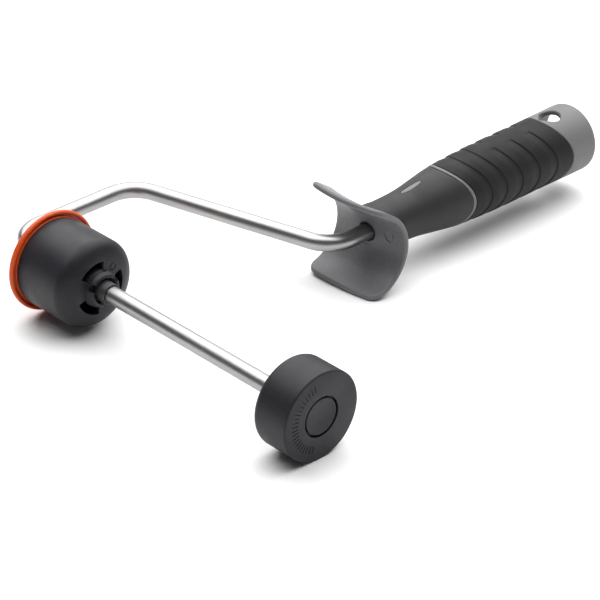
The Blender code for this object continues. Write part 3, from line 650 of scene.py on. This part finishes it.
def guard_rows(inset):
    """Distances round the bend, half widths, and how far the right-hand edge has turned from facing down."""
    low = GUARD_ARC * GUARD_ANGLES[1] - GUARD_FLARES[1] + inset
    high = GUARD_ARC * GUARD_ANGLES[0] + GUARD_FLARES[0] - inset
    half = GUARD_WIDTH / 2 - inset
    top, bottom = (corner - inset for corner in GUARD_CORNERS)
    corner_steps, middle_steps = 12, 44
    turns = [math.pi / 2 * i / corner_steps for i in range(corner_steps)]
    rows = [(low + bottom * (1 - math.cos(t)), half - bottom * (1 - math.sin(t)), t) for t in turns]
    start, stop = low + bottom, high - top
    rows += [(start + (stop - start) * i / middle_steps, half, math.pi / 2) for i in range(middle_steps + 1)]
    rows += [(high - top * (1 - math.cos(t)), half - top * (1 - math.sin(t)), math.pi - t)
             for t in reversed(turns)]
    return rows


def guard_sheet():
    """The bent sheet with a fully rounded rim, as one closed skin."""
    radius = GUARD_THICKNESS / 2
    columns, rim_steps = 40, 10
    nudge = 0.05 * MM
    points, faces = [], []

    def add(across, along, height):
        """Adds a point off the middle surface, and gives its number."""
        centre = Vector(guard_point(across, along))
        rightwards = Vector(guard_point(across + nudge, along)) - centre
        upwards = Vector(guard_point(across, along + nudge)) - centre
        points.append(centre + rightwards.cross(upwards).normalized() * height)
        return len(points) - 1

    rows = guard_rows(radius)
    last = len(rows) - 1
    flat = [[(half * (2 * j / columns - 1), along) for j in range(columns + 1)] for along, half, _ in rows]
    sides = [[[add(*point, height) for point in row] for row in flat] for height in (radius, -radius)]
    for grid in sides:
        faces += [(grid[i][j], grid[i][j + 1], grid[i + 1][j + 1], grid[i + 1][j])
                  for i in range(last) for j in range(columns)]
    # once round the sheet's edge: row, column, and which way the rim faces there, across and along
    edge = [(0, j, 0.0, -1.0) for j in range(columns)]
    edge += [(i, columns, math.sin(rows[i][2]), -math.cos(rows[i][2])) for i in range(last)]
    edge += [(last, j, 0.0, 1.0) for j in range(columns, 0, -1)]
    edge += [(i, 0, -math.sin(rows[i][2]), -math.cos(rows[i][2])) for i in range(last, 0, -1)]
    loops = [[sides[0][i][j] for i, j, _, _ in edge]]
    for k in range(1, rim_steps):
        out, height = (radius * f(math.pi * k / rim_steps) for f in (math.sin, math.cos))
        loops.append([add(flat[i][j][0] + u * out, flat[i][j][1] + v * out, height) for i, j, u, v in edge])
    loops.append([sides[1][i][j] for i, j, _, _ in edge])
    for near, far in zip(loops, loops[1:]):
        faces += [(near[i - 1], near[i], far[i], far[i - 1]) for i in range(len(edge))]
    mesh = bpy.data.meshes.new("guard")
    mesh.from_pydata(points, [], faces)
    return clean(mesh)


def guard_place(across, up):
    """Places round a point of the sheet's hollow side: u along X, v upwards, height into the sheet."""
    def place(u, v, height):
        x, z = across * MM + u, up * MM + v
        inner = GUARD_ARC - GUARD_THICKNESS / 2
        y = GUARD_CENTRE[0] + math.sqrt(inner ** 2 - (z - GUARD_CENTRE[1]) ** 2) + guard_sweep(x, z) + height
        return (HANDLE_X + x, AXLE.y + y, AXLE.z + z)
    return place


def make_splash_guard():
    """The sheet, a spigot behind it that enters the handle, the rod's hole through both, and two marks."""
    radius, rear = GUARD_SPIGOT
    middle = GUARD_CENTRE[0] + GUARD_ARC
    spigot = revolved("spigot", [(0, middle), (radius, middle), (radius, rear - 0.3 * MM),
                                 (radius - 0.3 * MM, rear), (0, rear)], on_handle, SMALL_STEPS, closed=False)
    mesh = combine(guard_sheet(), [spigot], "UNION")
    front = middle - GUARD_THICKNESS / 2
    before, behind = front - 3 * MM, rear + 4 * MM
    hole = [(0, before), (GUARD_HOLE + 0.3 * MM, before), (GUARD_HOLE + 0.3 * MM, front),
            (GUARD_HOLE + 0.1 * MM, front + 0.2 * MM), (GUARD_HOLE, front + 0.5 * MM), (GUARD_HOLE, behind),
            (0, behind)]
    oval_mark = ring_cutter(guard_place(*GUARD_MARK), (1.8 * MM, 2.5 * MM), (2.7 * MM, 3.4 * MM), -1 * MM,
                            0.3 * MM, math.radians(100), math.radians(395))
    arc_mark = ring_cutter(guard_place(0, 0), (5.7 * MM, 5.7 * MM), (6.2 * MM, 6.2 * MM), -1 * MM,
                           0.35 * MM, math.radians(243), math.radians(300))
    mesh = combine(mesh, [revolved("hole", hole, on_handle, SMALL_STEPS, closed=False), oval_mark, arc_mark])
    add_piece("guard", mesh, GUARD_GREY, "frame", "guard_grey", "splash_guard")


# ------------------------------------------------------------------------------
# Handle

# (along, radius) in millimetres
HANDLE_STATIONS = ((126, 11.9), (133, 11.5), (147, 12.0), (158, 13.5), (170, 15.2), (182, 16.1),
                   (201, 16.7), (232, 16.85), (258, 17.2))
BUTT_END = 263.0                        # millimetres
TONGUE = 8.2 * MM                       # how much further back the seams lie at the sides
RIDGE = 169.6 * MM                      # the thin line of core between the two grips
RIDGE_WIDTH = 1.7 * MM
RIDGE_RISE = 0.12 * MM
BUTT_SEAM = 238.2 * MM
GRIP_DEPTH = 2.3 * MM
GROOVES = (181.0, 191.0, 202.0, 214.0, 226.5)       # in millimetres along the handle's top
GROOVE_DEPTH = 0.5 * MM
GROOVE_RAMP = 5.0 * MM                  # each groove deepens slowly, and ends in a steep wall
GROOVE_WALL = 0.6 * MM
LABEL_FIELD = (192 * MM, 233 * MM)      # the plain field on top
LABEL_EDGE = (13.0, 15.0)               # degrees off the top, over which the grooves begin beside it
LOZENGE = (150.4 * MM, 13.0 * MM, 2.6 * MM)         # centre, length, width
LOZENGE_FOOT = 7.5 * MM                 # the peg starts at this radius, inside the core
LOZENGE_CROWN = (0.0, 0.5, 0.9, 1.2, 1.4)           # turns of the surface over the peg's crown
HANGING_HOLE = (246.4 * MM, 5.2 * MM, 7.6 * MM)     # centre, radius, distance to the point
SEAM_ROUND = 0.35 * MM                  # edges of the core, and of the grips
GRIP_ROUND = 0.4 * MM
HANDLE_STEPS = 144


def handle_radius(along):
    """Outer radius of the handle, a smooth curve through its stations."""
    stations = [(y * MM, r * MM) for y, r in HANDLE_STATIONS]
    if along <= stations[0][0]:
        return stations[0][1]
    if along >= stations[-1][0]:
        return stations[-1][1]
    k = max(i for i, (y, _) in enumerate(stations[:-1]) if y <= along)
    (y0, r0), (y1, r1) = stations[k], stations[k + 1]
    before = stations[max(k - 1, 0)]
    after = stations[min(k + 2, len(stations) - 1)]
    slope0 = (r1 - before[1]) / (y1 - before[0])
    slope1 = (after[1] - r0) / (after[0] - y0)
    t = (along - y0) / (y1 - y0)
    span = y1 - y0
    return ((2 * t ** 3 - 3 * t ** 2 + 1) * r0 + (t ** 3 - 2 * t ** 2 + t) * span * slope0
            + (3 * t ** 2 - 2 * t ** 3) * r1 + (t ** 3 - t ** 2) * span * slope1)


# A seam gives the distance along for each angle round the handle, and a depth gives the radius there.

def tongue(along):
    """A seam that lies further back at the handle's sides than on its top and underside."""
    return lambda angle: along + TONGUE * math.cos(angle) ** 2


def square(along):
    """A seam cut square."""
    return lambda angle: along


def guard_seat(clearance, radius):
    """A seam that follows the back of the splash guard, for a skin of that radius."""
    def place(angle):
        across, up = radius * math.cos(angle), radius * math.sin(angle)
        back = GUARD_ARC + GUARD_THICKNESS / 2
        depth = GUARD_CENTRE[0] + math.sqrt(back ** 2 - (up - GUARD_CENTRE[1]) ** 2)
        return depth + guard_sweep(across, up) + clearance
    return place


def blend(first, second, amount):
    """A seam between two others."""
    return lambda angle: first(angle) * (1 - amount) + second(angle) * amount


def shifted(seam, distance):
    return lambda angle: seam(angle) + distance


def handle_row(seam, depth):
    """A ring of points along a seam."""
    row = []
    for i in range(HANDLE_STEPS):
        angle = FULL * i / HANDLE_STEPS
        along = seam(angle)
        row.append(on_handle(depth(along, angle), along, angle))
    return row


def inside(depth):
    """So far under the handle's outer surface."""
    return lambda along, angle: handle_radius(along) - depth


def fixed(radius):
    """At one radius everywhere."""
    return lambda along, angle: radius


def edge_rows(seam, direction, top, bottom, size):
    """Rows that end a skin at a seam, from depth top to depth bottom, with a round of that size at the top."""
    steps = 4
    rows = []
    for i in range(steps + 1):
        turn = math.pi / 2 * i / steps
        rows.append(handle_row(shifted(seam, direction * size * (math.sin(turn) - 1)),
                               inside(top + size * (1 - math.cos(turn)))))
    rows.append(handle_row(seam, inside(bottom)))
    return rows


def between(first, second, steps, depth):
    """Evenly spread rows between two seams, without the seams' own rows."""
    return [handle_row(blend(first, second, i / steps), depth) for i in range(1, steps)]


def make_handle_core():
    """The core's outside from the guard to the butt, and back through the pole socket and the rod's hole."""
    seat = guard_seat(GAP, GUARD_SPIGOT[0])
    ridge_front, ridge_rear = tongue(RIDGE - RIDGE_WIDTH / 2), tongue(RIDGE + RIDGE_WIDTH / 2)
    butt_front = tongue(BUTT_SEAM)
    under = inside(GRIP_DEPTH)
    rows = [handle_row(seat, under)] + between(seat, ridge_front, 24, under)
    rows += reversed(edge_rows(ridge_front, -1, -RIDGE_RISE, GRIP_DEPTH, SEAM_ROUND))
    rows += edge_rows(ridge_rear, 1, -RIDGE_RISE, GRIP_DEPTH, SEAM_ROUND)
    rows += between(ridge_rear, butt_front, 40, under)
    rows += reversed(edge_rows(butt_front, -1, 0, GRIP_DEPTH, SEAM_ROUND))
    rows += between(shifted(butt_front, SEAM_ROUND), square(HANDLE_STATIONS[-1][0] * MM), 10, inside(0))
    end = handle_radius(BUTT_END * MM)
    inward, forward = 1.2 * MM, 2.6 * MM
    outside = arc((end - inward, BUTT_END * MM - forward), (inward, forward), 0, 90, 10)
    bore = outline((16.0, BUTT_END, 0), (14.9, BUTT_END, 0.4), (14.9, 250.0, 2.0),  # the pole socket's mouth
                   (12.7, 240.0, 2.0), (12.7, 206.0, 0.6),                          # the socket
                   (6.9, 206.0, 0.3), (6.9, 168.0, 0.2),                            # room for the rod's ferrule
                   (4.35, 168.0, 0.1), (4.35, 133.6, 0.1),                          # the rod
                   (7.5, 133.6, 0.1), (7.5, 132.0, 0), closed=False)[1:]            # the guard's spigot
    rows += [handle_row(square(along), fixed(radius)) for radius, along in outside + bore]
    rows.append(handle_row(seat, fixed(GUARD_SPIGOT[0] + GAP)))
    mesh = skin("handle_inner", rows, close_rows=True)
    mesh = combine(mesh, [lozenge_mesh(0, RIDGE_RISE)], "UNION")
    mesh = combine(mesh, [hanging_hole_cutter()])
    add_piece("handle_body", mesh, CORE_GREY, "frame", "core_grey", "handle_core")


def lozenge_mesh(margin, rise):
    """A long oval peg on top of the handle, a little crowned; margin widens it on all sides."""
    centre, length, width = LOZENGE
    steps = 48
    rows = []
    for crown in (None, *LOZENGE_CROWN):
        inset = 0.0 if crown is None else 0.8 * MM * (1 - math.cos(crown))
        row = []
        for k in range(steps):
            turn = FULL * k / steps
            across = (width / 2 + margin - inset) * math.cos(turn)
            along = centre + (length / 2 + margin - inset) * math.sin(turn)
            if crown is None:
                height = LOZENGE_FOOT
            else:
                height = math.sqrt(handle_radius(along) ** 2 - across ** 2) + rise * math.sin(crown)
            row.append((HANDLE_X + across, AXLE.y + along, AXLE.z + height))
        rows.append(row)
    return skin("lozenge", rows, caps=True)


def hanging_hole_cutter():
    """A round hole drawn out to a point towards the guard, with softened rims on both sides of the butt.

    Its levels are (height over the butt's surface, how much wider), from the top down to the bottom.
    """
    centre, radius, tip = HANGING_HOLE
    surface = handle_radius(centre)
    rim = [(1.5, 2.6), (0.5, 0.95), (0.1, 0.55), (-0.2, 0.28), (-0.55, 0.08), (-1.0, 0.0)]
    levels = [(1, *level) for level in rim] + [(-1, *level) for level in reversed(rim)]
    steps = 36
    rows = []
    for side, rise, spread in levels:
        r = radius + spread * MM
        point = tip + spread * MM * tip / radius
        reach = math.acos(r / point)
        loop = [(0.0, centre - point)]
        for k in range(steps + 1):
            turn = -math.pi / 2 + reach + (FULL - 2 * reach) * k / steps
            loop.append((r * math.cos(turn), centre + r * math.sin(turn)))
        rows.append([(HANDLE_X + x, AXLE.y + y,
                      AXLE.z + side * (math.sqrt(surface ** 2 - x ** 2) + rise * MM)) for x, y in loop])
    return skin("hanging_hole", rows, caps=True)


def make_front_grip():
    """A skin from the guard to the ridge, with the lozenge's place cut out of it."""
    seat, inner_seat = guard_seat(GAP, 11.5 * MM), guard_seat(GAP, 9.8 * MM)
    rear = tongue(RIDGE - RIDGE_WIDTH / 2 - GAP)
    thickness = GRIP_DEPTH - GAP
    front_round = 0.5 * MM
    rows = list(reversed(edge_rows(seat, -1, 0, thickness, front_round)))[1:]
    rows += between(shifted(seat, front_round), shifted(rear, -GRIP_ROUND), 44, inside(0))
    rows += edge_rows(rear, 1, 0, thickness, GRIP_ROUND)
    rows += between(rear, inner_seat, 12, inside(thickness))
    rows.append(handle_row(inner_seat, inside(thickness)))
    mesh = skin("grip_front", rows, close_rows=True)
    mesh = combine(mesh, [lozenge_mesh(GAP, 2 * MM)])
    add_piece("grip_front", mesh, SOFT_GREY, "frame", "soft_grey", "front_grip")


def smooth_step(low, high, value):
    share = min(max((value - low) / (high - low), 0.0), 1.0)
    return share * share * (3 - 2 * share)


def groove_depth(along, angle):
    """Depth of the rubber's saw-toothed grooves, which end at the plain field on top."""
    level = along - TONGUE * math.cos(angle) ** 2
    off_top = abs(math.degrees(math.atan2(math.cos(angle), math.sin(angle))))
    fade = smooth_step(*LABEL_EDGE, off_top)
    if not LABEL_FIELD[0] < along < LABEL_FIELD[1]:
        fade = 1.0
    depth = 0.0
    for groove in GROOVES:
        distance = level - groove * MM
        ramp = min(max(1 + distance / GROOVE_RAMP, 0), 1)
        depth = max(depth, ramp * (1 - smooth_step(0.0, GROOVE_WALL, distance)))
    return GROOVE_DEPTH * depth * fade


def grooved_radius(along, angle):
    return handle_radius(along) - groove_depth(along, angle)


def make_rear_grip():
    """A grooved skin from the ridge to the butt."""
    front, rear = tongue(RIDGE + RIDGE_WIDTH / 2 + GAP), tongue(BUTT_SEAM - GAP)
    thickness = GRIP_DEPTH - GAP
    rows = list(reversed(edge_rows(front, -1, 0, thickness, GRIP_ROUND)))
    rows += between(shifted(front, GRIP_ROUND), shifted(rear, -GRIP_ROUND), 220, grooved_radius)
    rows += edge_rows(rear, 1, 0, thickness, GRIP_ROUND)
    rows += between(rear, front, 8, inside(thickness))
    mesh = skin("grip_rear", rows, close_rows=True)
    add_piece("grip_rear", mesh, RUBBER, "frame", "rubber_black", "rear_grip")


def make_ferrule():
    """A knurled sleeve, crimped on the rod's end inside the handle; only its outside is knurled."""
    ridges, ridge_height, smooth_below = 24, 0.1 * MM, 6 * MM
    rows = []
    for radius, along in outline((6.5, 192, 0.4), (6.5, 170, 0.4), (4.25, 170, 0.2), (4.25, 192, 0.2)):
        row = []
        for i in range(HANDLE_STEPS):
            angle = FULL * i / HANDLE_STEPS
            ridge = ridge_height * math.cos(ridges * angle) if radius > smooth_below else 0.0
            row.append(on_handle(radius + ridge, along, angle))
        rows.append(row)
    mesh = skin("ferrule", rows, close_rows=True)
    add_piece("rod_anchor", mesh, SPRING_STEEL, "frame", "spring_steel", "rod_ferrule")


# ------------------------------------------------------------------------------
# Studio

FLOOR_HALF = 0.95                       # the floor ends where the overhead light stops reaching it
FLOOR_GAP = 0.05 * MM
BACKDROP = (0.08, 0.85)                 # world strength as the surfaces see it, and as the camera sees it


def make_floor():
    """A pale floor just under the three places where the frame rests: flange ring, end hub and guard."""
    flange, hub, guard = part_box("flange_ring"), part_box("end_hub"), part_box("splash_guard")
    under_flange = Vector((AXLE.x, AXLE.y, flange[0].z))
    under_hub = Vector(((hub[0].x + hub[1].x) / 2, AXLE.y, hub[0].z))
    under_guard = Vector((HANDLE_X, guard[0].y + 1 * MM, guard[0].z))      # near its foremost lower edge
    up = (under_hub - under_flange).cross(under_guard - under_flange).normalized()
    middle = under_flange - up * FLOOR_GAP
    across = Vector((1, 0, 0)) - up * up.x
    ahead = up.cross(across).normalized() * FLOOR_HALF
    across = across.normalized() * FLOOR_HALF
    mesh = bpy.data.meshes.new("floor")
    mesh.from_pydata([middle - across - ahead, middle + across - ahead, middle + across + ahead,
                      middle - across + ahead], [], [(0, 1, 2, 3)])
    floor = bpy.data.objects.new("floor", mesh)
    shader = Shader("floor_paint", roughness=0.75, Specular_IOR_Level=0.2)
    shader.colour(shader.mix(shader.noise(0.3, 3.0, offset=201.0), (0.87, 0.87, 0.87), (0.89, 0.89, 0.89)))
    mesh.materials.append(shader.material)
    bpy.context.scene.collection.objects.link(floor)


def add_light(name, place, target, size, power):
    data = bpy.data.lights.new(name, "AREA")
    data.shape = "RECTANGLE"
    data.size, data.size_y = size
    data.energy = power
    light = bpy.data.objects.new(name, data)
    light.location = place
    light.rotation_euler = (Vector(target) - Vector(place)).to_track_quat("-Z", "Y").to_euler()
    bpy.context.scene.collection.objects.link(light)


def make_studio():
    """One broad light overhead, a weak panel behind, and a pale backdrop that hardly lights anything."""
    make_floor()
    middle = (0.0, 0.0, 0.02)
    add_light("overhead", (-0.24, 0.28, 0.93), middle, (2.1, 2.0), 46.0)
    add_light("back_panel", (-1.15, 1.15, 0.50), (0.0, 0.0, 0.2), (2.4, 0.9), 2.0)
    world = bpy.data.worlds.new("studio")
    world.use_nodes = True
    tree = world.node_tree
    background = tree.nodes["Background"]
    background.inputs["Color"].default_value = (1.0, 1.0, 1.0, 1.0)
    strength = tree.nodes.new("ShaderNodeMapRange")
    strength.inputs["To Min"].default_value, strength.inputs["To Max"].default_value = BACKDROP
    tree.links.new(tree.nodes.new("ShaderNodeLightPath").outputs["Is Camera Ray"], strength.inputs["Value"])
    tree.links.new(strength.outputs["Result"], background.inputs["Strength"])
    bpy.context.scene.world = world
    bpy.context.scene.view_settings.view_transform = "Standard"


# The camera stands where one perspective fitted to the photograph's outlines puts it.
CAMERA_PLACE = (0.7004, -0.6998, 0.5750)
CAMERA_ACROSS = Vector((0.6877, 0.7260, 0.0043))
CAMERA_AHEAD = Vector((-0.6221, 0.5924, -0.5120))
CAMERA_LENS = 147.75


def make_camera():
    data = bpy.data.cameras.new("camera")
    data.lens = CAMERA_LENS
    data.sensor_width = 36.0
    data.clip_start = 0.05
    camera = bpy.data.objects.new("camera", data)
    back = -CAMERA_AHEAD.normalized()
    across = (CAMERA_ACROSS - back * CAMERA_ACROSS.dot(back)).normalized()
    up = back.cross(across)
    camera.matrix_world = Matrix.Translation(CAMERA_PLACE) @ Matrix((across, up, back)).transposed().to_4x4()
    bpy.context.scene.collection.objects.link(camera)
    bpy.context.scene.camera = camera


make_rod()
make_inner_hub()
make_flange_ring()
make_axle_fittings()
make_end_hub()
make_end_plug()
make_splash_guard()
make_handle_core()
make_front_grip()
make_rear_grip()
make_ferrule()
make_studio()
make_camera()
